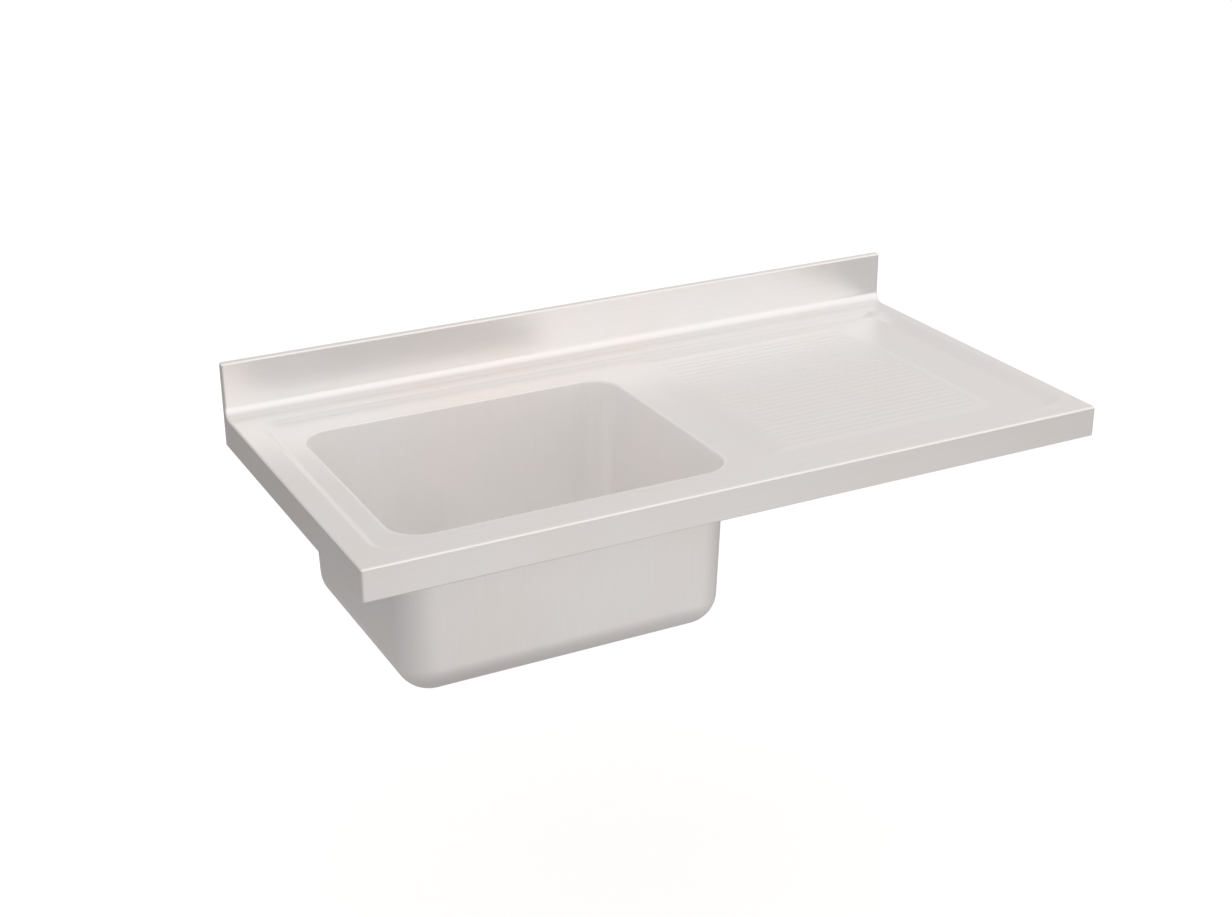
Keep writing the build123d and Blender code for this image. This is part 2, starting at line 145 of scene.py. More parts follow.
class Finishes(bpy.types.PropertyGroup):
    """Colours and gloss of the finishes."""

    satin: colour("Satin steel", "Colour of the brushed sheet", (0.96, 0.946, 0.939))
    satin_rough: share("Satin roughness", "Roughness of the brushed sheet", 0.33)
    satin_metal: share("Satin sheen", "How far the brushed sheet mirrors rather than scatters", 0.85)
    scoured_metal: share("Bowl sheen", "The same inside the bowl, which is scoured matter", 0.38)
    grain: share("Grain", "Strength of the brushed grain", 0.22)
    mill: colour("Mill steel", "Colour of the unbrushed stiffeners", (0.56, 0.56, 0.57))
    bright: colour("Polished steel", "Colour of the polished waste", (0.80, 0.79, 0.78))
    bitumen: colour("Deadening pad", "Colour of the sound deadening pads", (0.035, 0.034, 0.034))
    rubber: colour("Rubber", "Colour of the rubber seals and plug", (0.022, 0.022, 0.024))
    fibre: colour("Fibre", "Colour of the slip washer", (0.36, 0.20, 0.11))
    plastic: colour("Plastic", "Colour of the moulded nut", (0.66, 0.65, 0.62))


class StageSettings(bpy.types.PropertyGroup):
    """Camera, floor and lights."""

    eye: FloatVectorProperty(name="Camera place", description="Where the camera stands",
                             subtype="TRANSLATION", default=(-1.3031, -2.6710, 1.1261), size=3)
    turn: FloatProperty(name="Camera turn", description="Camera's turn to the right of the wall's square",
                        default=radians(27.3276), subtype="ANGLE")
    dip: FloatProperty(name="Camera dip", description="Camera's tilt down", default=radians(23.1429),
                       subtype="ANGLE")
    roll: FloatProperty(name="Camera roll", description="Camera's roll", default=radians(-0.3305),
                        subtype="ANGLE")
    focal_px: FloatProperty(name="Focal length", description="Focal length in pixels of the picture",
                            default=1893.5, min=100.0)
    floor_z: length("Floor", "Height of the floor", -850)
    floor: colour("Floor colour", "Colour of the floor", (0.86, 0.86, 0.86))
    # In reflections the floor glows with painted light, from this brightness in front to that far off.
    floor_near: share("Floor in front", "Brightness in reflections of the floor in front", 0.745)
    floor_far: share("Floor behind", "Brightness in reflections of the floor far off", 0.285)
    room: colour("Room colour", "Colour of the even light all round", (1.0, 0.960, 0.944))
    room_level: FloatProperty(name="Room level", description="Strength of the even light all round",
                              default=0.68, min=0.0, max=3.0)
    room_lean: FloatVectorProperty(name="Room lean", default=(0.10, -0.20, 0.0), size=3,
                                   description="How much the even light grows along each axis")
    room_band: share("Room band", "Extra light that changes with the height", 0.42)


# ---------------------------------------------------------------- selecting and shaping
def only(piece):
    """Makes piece the one selected and active object."""
    bpy.ops.object.select_all(action="DESELECT")
    piece.select_set(True)
    bpy.context.view_layer.objects.active = piece


def editing(on):
    """Goes into edit mode or back out of it."""
    bpy.ops.object.mode_set(mode="EDIT" if on else "OBJECT")


def edited():
    """The mesh that is in edit mode."""
    return bmesh.from_edit_mesh(bpy.context.view_layer.objects.active.data)


def pick(kind, test):
    """Selects the vertices, edges or faces of the edited mesh that pass the test."""
    bpy.ops.mesh.select_mode(type=kind)
    bpy.ops.mesh.select_all(action="DESELECT")
    mesh = edited()
    items = {"VERT": mesh.verts, "EDGE": mesh.edges, "FACE": mesh.faces}[kind]
    found = [item for item in items if test(item)]
    for item in found:
        item.select_set(True)
    mesh.select_flush_mode()
    bmesh.update_edit_mesh(bpy.context.view_layer.objects.active.data)
    if not found:
        raise RuntimeError(f"nothing to select on {bpy.context.view_layer.objects.active.name}")


def pick_largest(test):
    """Selects the largest face that passes the test."""
    best = max((f for f in edited().faces if test(f)), key=lambda f: f.calc_area())
    centre = best.calc_center_median()
    area = best.calc_area()

    def is_best(face):
        return near(face.calc_area(), area, FINE) and (face.calc_center_median() - centre).length < FINE

    pick("FACE", is_best)


def near(a, b, slack=SLACK):
    return abs(a - b) < slack


def level(edge, z):
    """Whether the edge lies at height z."""
    return all(near(v.co.z, z) for v in edge.verts)


def fit(low, high):
    """Scales and moves the selected part of the mesh to fill the box from low to high."""
    spots = [v.co for v in edited().verts if v.select]
    now_low = Vector([min(c[i] for c in spots) for i in range(3)])
    now_high = Vector([max(c[i] for c in spots) for i in range(3)])
    middle = (now_low + now_high) / 2
    factor = [1.0, 1.0, 1.0]
    for i in range(3):
        span = now_high[i] - now_low[i]
        if span > FINE:
            factor[i] = (high[i] - low[i]) / span
    bpy.ops.transform.resize(value=factor, center_override=middle)
    bpy.ops.transform.translate(value=(Vector(low) + Vector(high)) / 2 - middle)


def round_edges(radius, segments):
    """Rounds the selected edges."""
    bpy.ops.mesh.bevel(offset_type="OFFSET", offset=radius, segments=segments, profile=0.5, affect="EDGES",
                       clamp_overlap=False, loop_slide=True)


def block(name, low, high):
    """A box from low to high, as the start of a piece."""
    low, high = Vector(low), Vector(high)
    bpy.ops.object.select_all(action="DESELECT")
    bpy.ops.mesh.primitive_cube_add(size=1, location=(low + high) / 2, scale=high - low)
    return named(name)


def plate(name, bounds, z):
    """A flat rectangle (x0, x1, y0, y1) at height z, as the start of a piece."""
    x0, x1, y0, y1 = bounds
    bpy.ops.object.select_all(action="DESELECT")
    bpy.ops.mesh.primitive_plane_add(size=1, location=((x0 + x1) / 2, (y0 + y1) / 2, z))
    bpy.context.object.scale = (x1 - x0, y1 - y0, 1)
    return named(name)


def named(name):
    """Names the new object and leaves it at the origin, with its place in its mesh."""
    piece = bpy.context.object
    piece.name = name
    piece.data.name = name
    bpy.ops.object.transform_apply(location=True, rotation=True, scale=True)
    return piece


def modify(piece, kind, **settings):
    """Adds a modifier and applies it."""
    only(piece)
    modifier = piece.modifiers.new(kind.title(), kind)
    for key, value in settings.items():
        setattr(modifier, key, value)
    bpy.ops.object.modifier_apply(modifier=modifier.name)


def smooth(piece):
    """Smooth shading that leaves flats flat and breaks at real edges."""
    only(piece)
    bpy.ops.object.shade_smooth_by_angle(angle=radians(SMOOTH_ANGLE))
    modify(piece, "WEIGHTED_NORMAL", keep_sharp=True, weight=FLAT_WEIGHT)


def face_up(piece, test):
    """Makes all faces agree, with those that pass the test looking up."""
    only(piece)
    editing(True)
    bpy.ops.mesh.select_all(action="SELECT")
    bpy.ops.mesh.remove_doubles(threshold=MERGE)
    bpy.ops.mesh.normals_make_consistent(inside=False)
    biggest = max((f for f in edited().faces if test(f)), key=lambda f: f.calc_area())
    if biggest.normal.z < 0:
        bpy.ops.mesh.flip_normals()
    editing(False)


def join(main, others):
    """Makes the others a part of main."""
    only(main)
    for other in others:
        other.select_set(True)
    bpy.ops.object.join()
    return main


def place(piece, body, material, replaced=()):
    """Gives the finished piece its body and its finish unless it has one, and hides the nodes it stands
    for.
    """
    if material is not None:
        piece.data.materials.clear()
        piece.data.materials.append(material)
    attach(piece, body)
    if replaced:
        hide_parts(*replaced)


# ---------------------------------------------------------------- finishes
# Colour sockets of the Mix node.
MIX_A = 6
MIX_B = 7
MIX_RESULT = 2
# Most of a noise lies between these two values.
NOISE_LOW = 0.3
NOISE_HIGH = 0.7
# Marks per metre across the grain, and along it.
HAIRS = (700.0, 14.0)
STREAKS = (260.0, 3.0)
# The brushed sheet drifts between these two casts, and inside the bowl its colour is painted this much
# paler, as painted light that brightens the deep bowl.
WARM_CAST = (1.0, 0.985, 0.975)
COOL_CAST = (0.985, 1.0, 1.005)
BOWL_PAINTED_LIGHT_TONE = 1.035


def material_of(name):
    found = bpy.data.materials.get(name)
    if found is None:
        raise RuntimeError(f"the finish {name} isn't made yet")
    return found


class Nodes:
    """Short ways to add shader nodes to one material or world."""

    def __init__(self, owner):
        self.owner = owner
        owner.use_nodes = True
        self.tree = owner.node_tree
        self.shader = self.tree.nodes.get("Principled BSDF")
        self.here = self.tree.nodes.new("ShaderNodeTexCoord").outputs["Object"]

    def link(self, output, target):
        self.tree.links.new(output, target)

    def feed(self, socket, value):
        """Sets a number on the socket, or links an output to it."""
        if isinstance(value, float):
            socket.default_value = value
        else:
            self.link(value, socket)

    def add(self, kind, **settings):
        node = self.tree.nodes.new(kind)
        for key, value in settings.items():
            setattr(node, key, value)
        return node

    def stretched(self, scale, turn=(0, 0, 0)):
        node = self.add("ShaderNodeMapping")
        node.inputs["Scale"].default_value = scale
        node.inputs["Rotation"].default_value = turn
        self.link(self.here, node.inputs["Vector"])
        return node.outputs["Vector"]

    def noise(self, vector, scale=1.0, detail=3.0, rough=0.5, distort=0.0):
        node = self.add("ShaderNodeTexNoise")
        node.inputs["Scale"].default_value = scale
        node.inputs["Detail"].default_value = detail
        node.inputs["Roughness"].default_value = rough
        node.inputs["Distortion"].default_value = distort
        self.link(vector, node.inputs["Vector"])
        return node.outputs["Fac"]

    def ramp(self, value, low, high, to_low=0.0, to_high=1.0):
        """Takes the values from low to high evenly to those from to_low to to_high."""
        node = self.add("ShaderNodeMapRange")
        node.inputs["From Min"].default_value = low
        node.inputs["From Max"].default_value = high
        node.inputs["To Min"].default_value = to_low
        node.inputs["To Max"].default_value = to_high
        self.link(value, node.inputs["Value"])
        return node.outputs["Result"]

    def spread(self, noise, to_low=0.0, to_high=1.0):
        """The same for the main reach of a noise."""
        return self.ramp(noise, NOISE_LOW, NOISE_HIGH, to_low, to_high)

    def maths(self, operation, *values):
        node = self.add("ShaderNodeMath", operation=operation)
        for socket, value in zip(node.inputs, values):
            self.feed(socket, value)
        return node.outputs["Value"]

    def mix(self, factor, a, b):
        """Colour a where factor is 0 and b where it is 1."""
        node = self.add("ShaderNodeMix", data_type="RGBA")
        self.link(factor, node.inputs["Factor"])
        node.inputs[MIX_A].default_value = (*a, 1.0)
        node.inputs[MIX_B].default_value = (*b, 1.0)
        return node.outputs[MIX_RESULT]

    def times(self, a, b):
        """Colour a multiplied by colour b."""
        node = self.add("ShaderNodeMix", data_type="RGBA", blend_type="MULTIPLY")
        node.inputs["Factor"].default_value = 1.0
        self.link(a, node.inputs[MIX_A])
        self.link(b, node.inputs[MIX_B])
        return node.outputs[MIX_RESULT]

    def bump(self, height, deep, strength=1.0, under=None):
        node = self.add("ShaderNodeBump")
        node.inputs["Distance"].default_value = deep
        node.inputs["Strength"].default_value = strength
        self.link(height, node.inputs["Height"])
        if under is not None:
            self.link(under, node.inputs["Normal"])
        return node.outputs["Normal"]

    def dress(self, colour_here, rough, relief):
        """Gives the shader its colour, roughness and relief."""
        self.link(colour_here, self.shader.inputs["Base Color"])
        self.link(rough, self.shader.inputs["Roughness"])
        self.link(relief, self.shader.inputs["Normal"])


def tone(value, factor):
    """A colour made paler or darker."""
    return tuple(min(1.0, c * factor) for c in value)


def drawn_out(marks, along):
    """Scale of a pattern that is drawn out along one of the axes X, Y or Z."""
    across, lengthways = marks
    return tuple(lengthways if axis == along else across for axis in "XYZ")


def satin_steel(name, base, rough, grain, along, metal):
    """Brushed stainless sheet, with its grain along one of the axes X, Y or Z."""
    n = Nodes(bpy.data.materials.new(name))
    n.shader.inputs["Metallic"].default_value = metal
    hairs = n.noise(n.stretched(drawn_out(HAIRS, along)), detail=2.0)
    streaks = n.noise(n.stretched(drawn_out(STREAKS, along)))
    both = n.maths("ADD", n.maths("MULTIPLY", hairs, 0.5), n.maths("MULTIPLY", streaks, 0.5))
    clouds = n.noise(n.here, 5.5, detail=2.0, rough=0.45, distort=0.35)
    smears = n.noise(n.stretched((9.0, 9.0, 9.0), turn=(0.3, 0.2, 0.9)), distort=0.6)
    light = n.mix(n.spread(both), tone(base, 1.0 - 0.10 * grain), tone(base, 1.0 + 0.06 * grain))
    cast = n.mix(n.ramp(clouds, 0.35, 0.65), WARM_CAST, COOL_CAST)
    uneven = 0.05 * grain
    gloss = n.maths("ADD", n.spread(both, rough - uneven, rough + uneven), n.spread(smears, -0.022, 0.022))
    waves = n.bump(n.noise(n.here, 3.2, detail=1.0, rough=0.4), 0.0006)
    n.dress(n.times(light, cast), gloss, n.bump(both, 0.000008 * grain, under=waves))


def mill_steel(name, base):
    """Plain mill finish, faintly clouded and rolled along X."""
    n = Nodes(bpy.data.materials.new(name))
    n.shader.inputs["Metallic"].default_value = 1.0
    rolled = n.noise(n.stretched((20.0, 400.0, 400.0)))
    clouds = n.noise(n.here, 14.0, detail=4.0, rough=0.6, distort=0.4)
    n.dress(n.mix(n.spread(clouds), tone(base, 0.90), tone(base, 1.08)), n.spread(clouds, 0.38, 0.50),
            n.bump(rolled, 0.00002))


def bright_steel(name, base):
    """Polished stainless with faint turning marks and wipe smears."""
    n = Nodes(bpy.data.materials.new(name))
    n.shader.inputs["Metallic"].default_value = 1.0
    marks = n.noise(n.stretched((30.0, 30.0, 1800.0)), detail=2.0)
    smears = n.noise(n.here, 60.0, distort=0.5)
    n.dress(n.mix(n.spread(smears), tone(base, 0.96), tone(base, 1.03)), n.spread(smears, 0.14, 0.22),
            n.bump(marks, 0.000008))


def bitumen(name, base):
    """Pressed bitumen sheet: grainy, with an embossed waffle."""
    n = Nodes(bpy.data.materials.new(name))
    grains = n.noise(n.here, 900.0, detail=4.0, rough=0.6)
    clouds = n.noise(n.here, 25.0)
    waffle = n.add("ShaderNodeTexVoronoi", feature="SMOOTH_F1")
    waffle.inputs["Scale"].default_value = 1.0
    n.link(n.stretched((160.0, 160.0, 40.0)), waffle.inputs["Vector"])
    embossed = n.bump(waffle.outputs["Distance"], 0.0004, strength=0.6)
    n.dress(n.mix(n.spread(clouds), tone(base, 0.8), tone(base, 1.5)), n.spread(grains, 0.72, 0.9),
            n.bump(grains, 0.00012, under=embossed))


def moulded(name, base, grain_scale, rough, deep):
    """Rubber, fibre or plastic with a fine moulded grain."""
    n = Nodes(bpy.data.materials.new(name))
    grains = n.noise(n.here, grain_scale, detail=4.0, rough=0.6)
    clouds = n.noise(n.here, 45.0, detail=2.0)
    n.dress(n.mix(n.spread(clouds), tone(base, 0.88), tone(base, 1.12)),
            n.spread(grains, rough - 0.06, rough + 0.06), n.bump(grains, deep))


class SINK_OT_finishes(bpy.types.Operator):
    """Make the procedural finishes."""

    bl_idname = "sink.finishes"
    bl_label = "Finishes"

    def execute(self, context):
        f = context.scene.sink_finishes
        satin = tuple(f.satin)
        # The bowl's inside takes the satin colour painted paler: painted light for the deep bowl, with its
        # lower sheen set by scoured_metal.
        scoured = tone(satin, BOWL_PAINTED_LIGHT_TONE)
        satin_steel("satin_steel_along", satin, f.satin_rough, f.grain, "X", f.satin_metal)
        satin_steel("satin_steel_upright", satin, f.satin_rough, f.grain, "Z", f.satin_metal)
        satin_steel("scoured_painted_light_steel_upright", scoured, f.satin_rough, f.grain, "Z", f.scoured_metal)
        mill_steel("mill_steel", tuple(f.mill))
        bright_steel("bright_steel", tuple(f.bright))
        bitumen("deadening_bitumen", tuple(f.bitumen))
        moulded("black_rubber", tuple(f.rubber), 700.0, 0.52, 0.00004)
        moulded("brown_fibre", tuple(f.fibre), 1200.0, 0.80, 0.00005)
        moulded("pale_plastic", tuple(f.plastic), 500.0, 0.42, 0.00003)
        return {"FINISHED"}


# ---------------------------------------------------------------- the folded and pressed top
# Rectangles are x0, x1, y0, y1 in metres.
TRAY_TOP = (-0.563, 0.577, -0.560, -0.058)
TRAY_FOOT = (-0.555, 0.552, -0.552, -0.066)
TRAY_CORNER = 0.028
PANEL_FOOT = (0.050, 0.475, -0.514, -0.080)
PANEL_TOP = (0.090, 0.461, -0.500, -0.094)
PANEL_CORNER = 0.023
# Flat borders outside and inside a pressed form.
BORDER = 0.005
INNER_BORDER = 0.0035
RIB_FIRST_Y = -0.4885
RIB_ENDS = (0.106, 0.450)
BOWL_CENTRE = (-0.260, -0.320)
# Segments of the rounded corners, folds and edges.
CORNER_SEGMENTS = 16
FOLD_SEGMENTS = 6
COVE_SEGMENTS = 14
FOOT_SEGMENTS = 4
PRESS_SEGMENTS = 4
# A rib is a disc of so many sides, raised in so many steps to a crest of this share of its width.
RIB_SIDES = 24
RIB_STEPS = 7
RIB_CREST = 0.12
# A face is square to an axis when this much of its normal lies along it.
SQUARE = 0.999
# The drainer panel's walls slope so little that a flat face has to be closer than that.
FLAT = 0.9999
FOLDED_NODES = ("worktop_sheet", "end_panel_left", "end_panel_right", "upstand_cap_left",
                "upstand_cap_right")


def folded_shell(s):
    """Skirts, rim and upstand as one open sheet, with every fold rounded."""
    half = s.length / 2
    top = s.skirt + s.upstand
    piece = block("sink_top_sheet", (-half, -s.depth, 0), (half, 0, s.skirt))
    editing(True)
    bpy.ops.mesh.select_all(action="SELECT")
    bpy.ops.mesh.bisect(plane_co=(0, -s.box, 0), plane_no=(0, 1, 0))
    pick("FACE", lambda f: f.normal.z > SQUARE and f.calc_center_median().y > -s.box)
    bpy.ops.mesh.extrude_region_move(TRANSFORM_OT_translate={"value": (0, 0, s.upstand)})
    bpy.ops.mesh.select_all(action="SELECT")
    bpy.ops.mesh.dissolve_limited(angle_limit=radians(1))
    pick("VERT", lambda v: near(v.co.z, s.skirt) and near(v.co.y, -s.depth))
    bpy.ops.transform.translate(value=(0, 0, -s.crown))
    folds = ((-s.depth, s.skirt - s.crown, s.nose, FOLD_SEGMENTS), (-s.box, s.skirt, s.cove, COVE_SEGMENTS),
             (-s.box, top, s.fold, FOLD_SEGMENTS), (0.0, top, s.fold, FOLD_SEGMENTS))
    for y, z, radius, segments in folds:
        pick("EDGE", lambda e: level(e, z) and all(near(v.co.y, y) for v in e.verts))
        round_edges(radius, segments)
    pick("EDGE", lambda e: near(abs(e.verts[0].co.x + e.verts[1].co.x), 2 * half) and not level(e, 0.0))
    round_edges(s.end, FOLD_SEGMENTS)
    pick("EDGE", lambda e: level(e, 0.0))
    round_edges(s.foot, FOOT_SEGMENTS)
    lip_lines = (((half - s.lip, 0, 0), (1, 0, 0)), ((s.lip - half, 0, 0), (1, 0, 0)),
                 ((0, s.lip - s.depth, 0), (0, 1, 0)), ((0, -s.lip, 0), (0, 1, 0)))
    for spot, across in lip_lines:
        pick("FACE", lambda f: f.normal.z < -SQUARE)
        bpy.ops.mesh.bisect(plane_co=spot, plane_no=across)

    def between_lips(face):
        spot = face.calc_center_median()
        return spot.y > -s.lip or (abs(spot.x) < half - s.lip and spot.y > s.lip - s.depth)

    pick("FACE", lambda f: f.normal.z < -SQUARE and between_lips(f))
    bpy.ops.mesh.delete(type="FACE")
    pick_largest(lambda f: f.normal.y > SQUARE)
    bpy.ops.mesh.bisect(plane_co=(0, 0, top - s.box), plane_no=(0, 0, 1))

    def open_rear(face):
        spot = face.calc_center_median()
        return spot.y > -s.foot and abs(spot.x) < half - s.end and spot.z < top - s.box

    pick("FACE", open_rear)
    bpy.ops.mesh.delete(type="FACE")
    editing(False)
    return piece


def ring(name, bounds, radius, z):
    """Rounded rectangle (x0, x1, y0, y1) at height z, as a closed line."""
    piece = plate(name, bounds, z)
    editing(True)
    bpy.ops.mesh.select_all(action="SELECT")
    bpy.ops.mesh.bevel(offset_type="OFFSET", offset=radius, segments=CORNER_SEGMENTS, profile=0.5,
                       affect="VERTICES", clamp_overlap=False)
    bpy.ops.mesh.select_all(action="SELECT")
    bpy.ops.mesh.delete(type="ONLY_FACE")
    editing(False)
    return piece


def grown(bounds, by):
    """The rectangle made larger on every side."""
    x0, x1, y0, y1 = bounds
    return x0 - by, x1 + by, y0 - by, y1 + by


def pressed(name, outer, corner, inner, z, rise, soft, tilted=None):
    """Sloping walls from one rounded rectangle to another, with a narrow flat border inside and out."""
    piece = ring(name, grown(outer, BORDER), corner + BORDER, z)
    editing(True)
    bpy.ops.mesh.select_all(action="SELECT")
    bpy.ops.mesh.edge_face_add()
    bpy.ops.mesh.inset(thickness=BORDER, depth=0)
    bpy.ops.mesh.extrude_region_move(TRANSFORM_OT_translate={"value": (0, 0, rise)})
    x0, x1, y0, y1 = inner
    fit((x0, y0, z + rise), (x1, y1, z + rise))
    if tilted:
        tilt(*tilted)
    bpy.ops.mesh.inset(thickness=INNER_BORDER, depth=0)
    bpy.ops.mesh.delete(type="ONLY_FACE")
    pick("EDGE", lambda e: sorted(abs(f.normal.z) > FLAT for f in e.link_faces) == [False, True])
    round_edges(soft, PRESS_SEGMENTS)
    editing(False)
    return piece


def tilt(s, d):
    """Tilts what is selected up to the right, about the low edge of the drainer panel."""
    rise = atan2(d.rise_right - d.rise_left, PANEL_TOP[1] - PANEL_TOP[0])
    hinge = (PANEL_TOP[0], PANEL_TOP[2], s.skirt - s.tray_deep + d.rise_left)
    bpy.ops.transform.rotate(value=rise, orient_axis="Y", center_override=hinge)


def rib(s, d):
    """One low rib with rounded ends, from a disc pulled long and domed ring by ring."""
    radius = d.rib_wide / 2
    x0, x1 = RIB_ENDS
    foot = s.skirt - s.tray_deep + d.rise_left
    bpy.ops.object.select_all(action="DESELECT")
    bpy.ops.mesh.primitive_circle_add(vertices=RIB_SIDES, radius=radius, fill_type="NGON",
                                      rotation=(0, 0, pi / RIB_SIDES), location=(x0, RIB_FIRST_Y, foot))
    piece = named("rib")
    editing(True)
    bpy.ops.mesh.select_all(action="SELECT")
    last = (1.0, 0.0)
    for number in range(1, RIB_STEPS + 1):
        reach = 1.0 - (1.0 - RIB_CREST) * number / RIB_STEPS
        height = d.rib_high * (0.5 - 0.5 * cos(pi * number / RIB_STEPS))
        lift = (0, 0, height - last[1])
        bpy.ops.mesh.extrude_region_move(TRANSFORM_OT_translate={"value": lift})
        shrink = reach / last[0]
        bpy.ops.transform.resize(value=(shrink, shrink, 1), center_override=(x0, RIB_FIRST_Y, 0))
        last = (reach, height)
    pick("VERT", lambda v: v.co.x > x0)
    bpy.ops.transform.translate(value=(x1 - x0, 0, 0))
    pick("FACE", lambda f: all(near(v.co.z, foot, FINE) for v in f.verts))
    bpy.ops.mesh.delete(type="ONLY_FACE")
    editing(False)
    return piece


def repeated(piece, count, step):
    """The piece and its copies, each one step further and with its own mesh."""
    pieces = [piece]
    for number in range(1, count):
        copy = piece.copy()
        copy.data = piece.data.copy()
        bpy.context.collection.objects.link(copy)
        copy.data.transform(Matrix.Translation(Vector(step) * number))
        pieces.append(copy)
    return pieces


def bowl_line(s, b, name):
    """Rounded rectangle where the bowl's flange meets the tray."""
    reach = b.edge + b.flange
    x, y = BOWL_CENTRE
    hx = b.length / 2 + reach
    hy = b.width / 2 + reach
    return ring(name, (x - hx, x + hx, y - hy, y + hy), b.corner + reach, s.skirt - s.tray_deep)


def fill_between(piece, test):
    """Fills the flat region between the open edges that pass the test."""
    only(piece)
    editing(True)
    pick("EDGE", lambda e: len(e.link_faces) < 2 and test(e))
    bpy.ops.mesh.fill(use_beauty=True)
    editing(False)


def drainer_panel(s, d):
    """The raised panel with its ribs, tilted to drain into the bowl."""
    low = s.skirt - s.tray_deep
    ribs = repeated(rib(s, d), d.ribs, (0, d.rib_pitch, 0))
    ribbed = join(ribs[0], ribs[1:])
    editing(True)
    bpy.ops.mesh.select_all(action="SELECT")
    tilt(s, d)
    editing(False)
    panel = pressed("drainer_panel", PANEL_FOOT, PANEL_CORNER, PANEL_TOP, low, d.rise_left, s.press, (s, d))
    join(panel, [ribbed])
    fill_between(panel, lambda e: any(v.co.z > low + LOOSE for v in e.verts))
    return panel


def thicken(piece, sheet, rear_finish=0):
    """Gives an open sheet its thickness, away from the side that looks up."""
    modify(piece, "SOLIDIFY", thickness=sheet, offset=-1.0, use_even_offset=True, use_quality_normals=True,
           material_offset=rear_finish)


class SINK_OT_top(bpy.types.Operator):
    """Build the folded and pressed top with its drainer panel, ribs, end walls and upstand."""

    bl_idname = "sink.top"
    bl_label = "Top"

    def execute(self, context):
        s = context.scene.sink_sheet
        d = context.scene.sink_drainer
        b = context.scene.sink_bowl
        low = s.skirt - s.tray_deep
        panel = drainer_panel(s, d)
        top = folded_shell(s)
        editing(True)
        pick_largest(lambda f: f.normal.z > SQUARE)
        bpy.ops.mesh.delete(type="ONLY_FACE")
        editing(False)
        join(top, [pressed("tray", TRAY_TOP, TRAY_CORNER, TRAY_FOOT, s.skirt, -s.tray_deep, s.press)])
        fill_between(top, lambda e: all(v.co.z > s.skirt - 2 * s.crown for v in e.verts))
        join(top, [panel, bowl_line(s, b, "mouth")])
        fill_between(top, lambda e: level(e, low))
        face_up(top, lambda f: near(f.calc_center_median().z, low, LOOSE))
        thicken(top, s.sheet)
        smooth(top)
        place(top, TOP_BODY, material_of("satin_steel_along"), FOLDED_NODES)
        return {"FINISHED"}


# ---------------------------------------------------------------- the bowl
SEAT_RADIUS = 0.059
WASTE_HOLE = 0.0445
FLOOR_FIELD = (0.384, 0.282)
FLOOR_SEAM = 0.0005
MOUTH_SEGMENTS = 6
FLOOR_SEGMENTS = 14


def bowl_walls(s, b, floor):
    """Flange, rolled mouth and sloping walls, down to the soft edge of the floor."""
    x, y = BOWL_CENTRE
    mouth = s.skirt - s.tray_deep
    slack = b.deep * tan(b.draft)
    hx = b.length / 2 - slack
    hy = b.width / 2 - slack
    bowl = bowl_line(s, b, "bowl")
    editing(True)
    bpy.ops.mesh.select_all(action="SELECT")
    bpy.ops.mesh.edge_face_add()
    bpy.ops.mesh.inset(thickness=b.edge + b.flange, depth=0)
    bpy.ops.mesh.extrude_region_move(TRANSFORM_OT_translate={"value": (0, 0, -b.deep)})
    fit((x - hx, y - hy, floor), (x + hx, y + hy, floor))
    pick("EDGE", lambda e: level(e, mouth) and any(abs(f.normal.z) < SQUARE for f in e.link_faces))
    round_edges(b.edge, MOUTH_SEGMENTS)
    pick("EDGE", lambda e: level(e, floor))
    round_edges(b.floor * tan(pi / 4 - b.draft / 2), FLOOR_SEGMENTS)
    pick_largest(lambda f: near(f.calc_center_median().z, floor))
    bpy.ops.mesh.inset(thickness=FLOOR_SEAM, depth=0)
    wide, deep = FLOOR_FIELD
    fit((x - wide / 2, y - deep / 2, floor), (x + wide / 2, y + deep / 2, floor))
    bpy.ops.mesh.delete(type="ONLY_FACE")
    editing(False)
    return bowl


def add_seat(bowl, floor, seat):
    """Floor from the walls down to the level seat round the waste's hole."""
    x, y = BOWL_CENTRE
    count = 4 * (CORNER_SEGMENTS + 1)
    bpy.ops.object.select_all(action="DESELECT")
    bpy.ops.mesh.primitive_circle_add(vertices=count, radius=SEAT_RADIUS, location=(x, y, seat),
                                      rotation=(0, 0, pi / count))
    join(bowl, [named("seat")])
    editing(True)
    pick("EDGE", lambda e: len(e.link_faces) < 2 and e.verts[0].co.z < floor + MM)
    bpy.ops.mesh.bridge_edge_loops()
    pick("EDGE", lambda e: len(e.link_faces) < 2 and level(e, seat))
    bpy.ops.mesh.edge_face_add()
    bpy.ops.mesh.inset(thickness=SEAT_RADIUS - WASTE_HOLE, depth=0)
    bpy.ops.mesh.delete(type="FACE")
    editing(False)


class SINK_OT_bowl(bpy.types.Operator):
    """Build the drawn bowl, with its rolled mouth and its floor falling to the waste."""

    bl_idname = "sink.bowl"
    bl_label = "Bowl"

    def execute(self, context):
        s = context.scene.sink_sheet
        b = context.scene.sink_bowl
        floor = s.skirt - s.tray_deep - b.deep
        seat = floor - b.fall
        bowl = bowl_walls(s, b, floor)
        add_seat(bowl, floor, seat)
        face_up(bowl, lambda f: near(f.calc_center_median().z, seat, LOOSE))
        bowl.data.materials.clear()
        # Inside, the scoured steel painted paler with painted light; outside, the plain satin steel.
        for finish in ("scoured_painted_light_steel_upright", "satin_steel_upright"):
            bowl.data.materials.append(material_of(finish))
        thicken(bowl, s.sheet, rear_finish=1)
        smooth(bowl)
        place(bowl, TOP_BODY, None, ("bowl",))
        return {"FINISHED"}


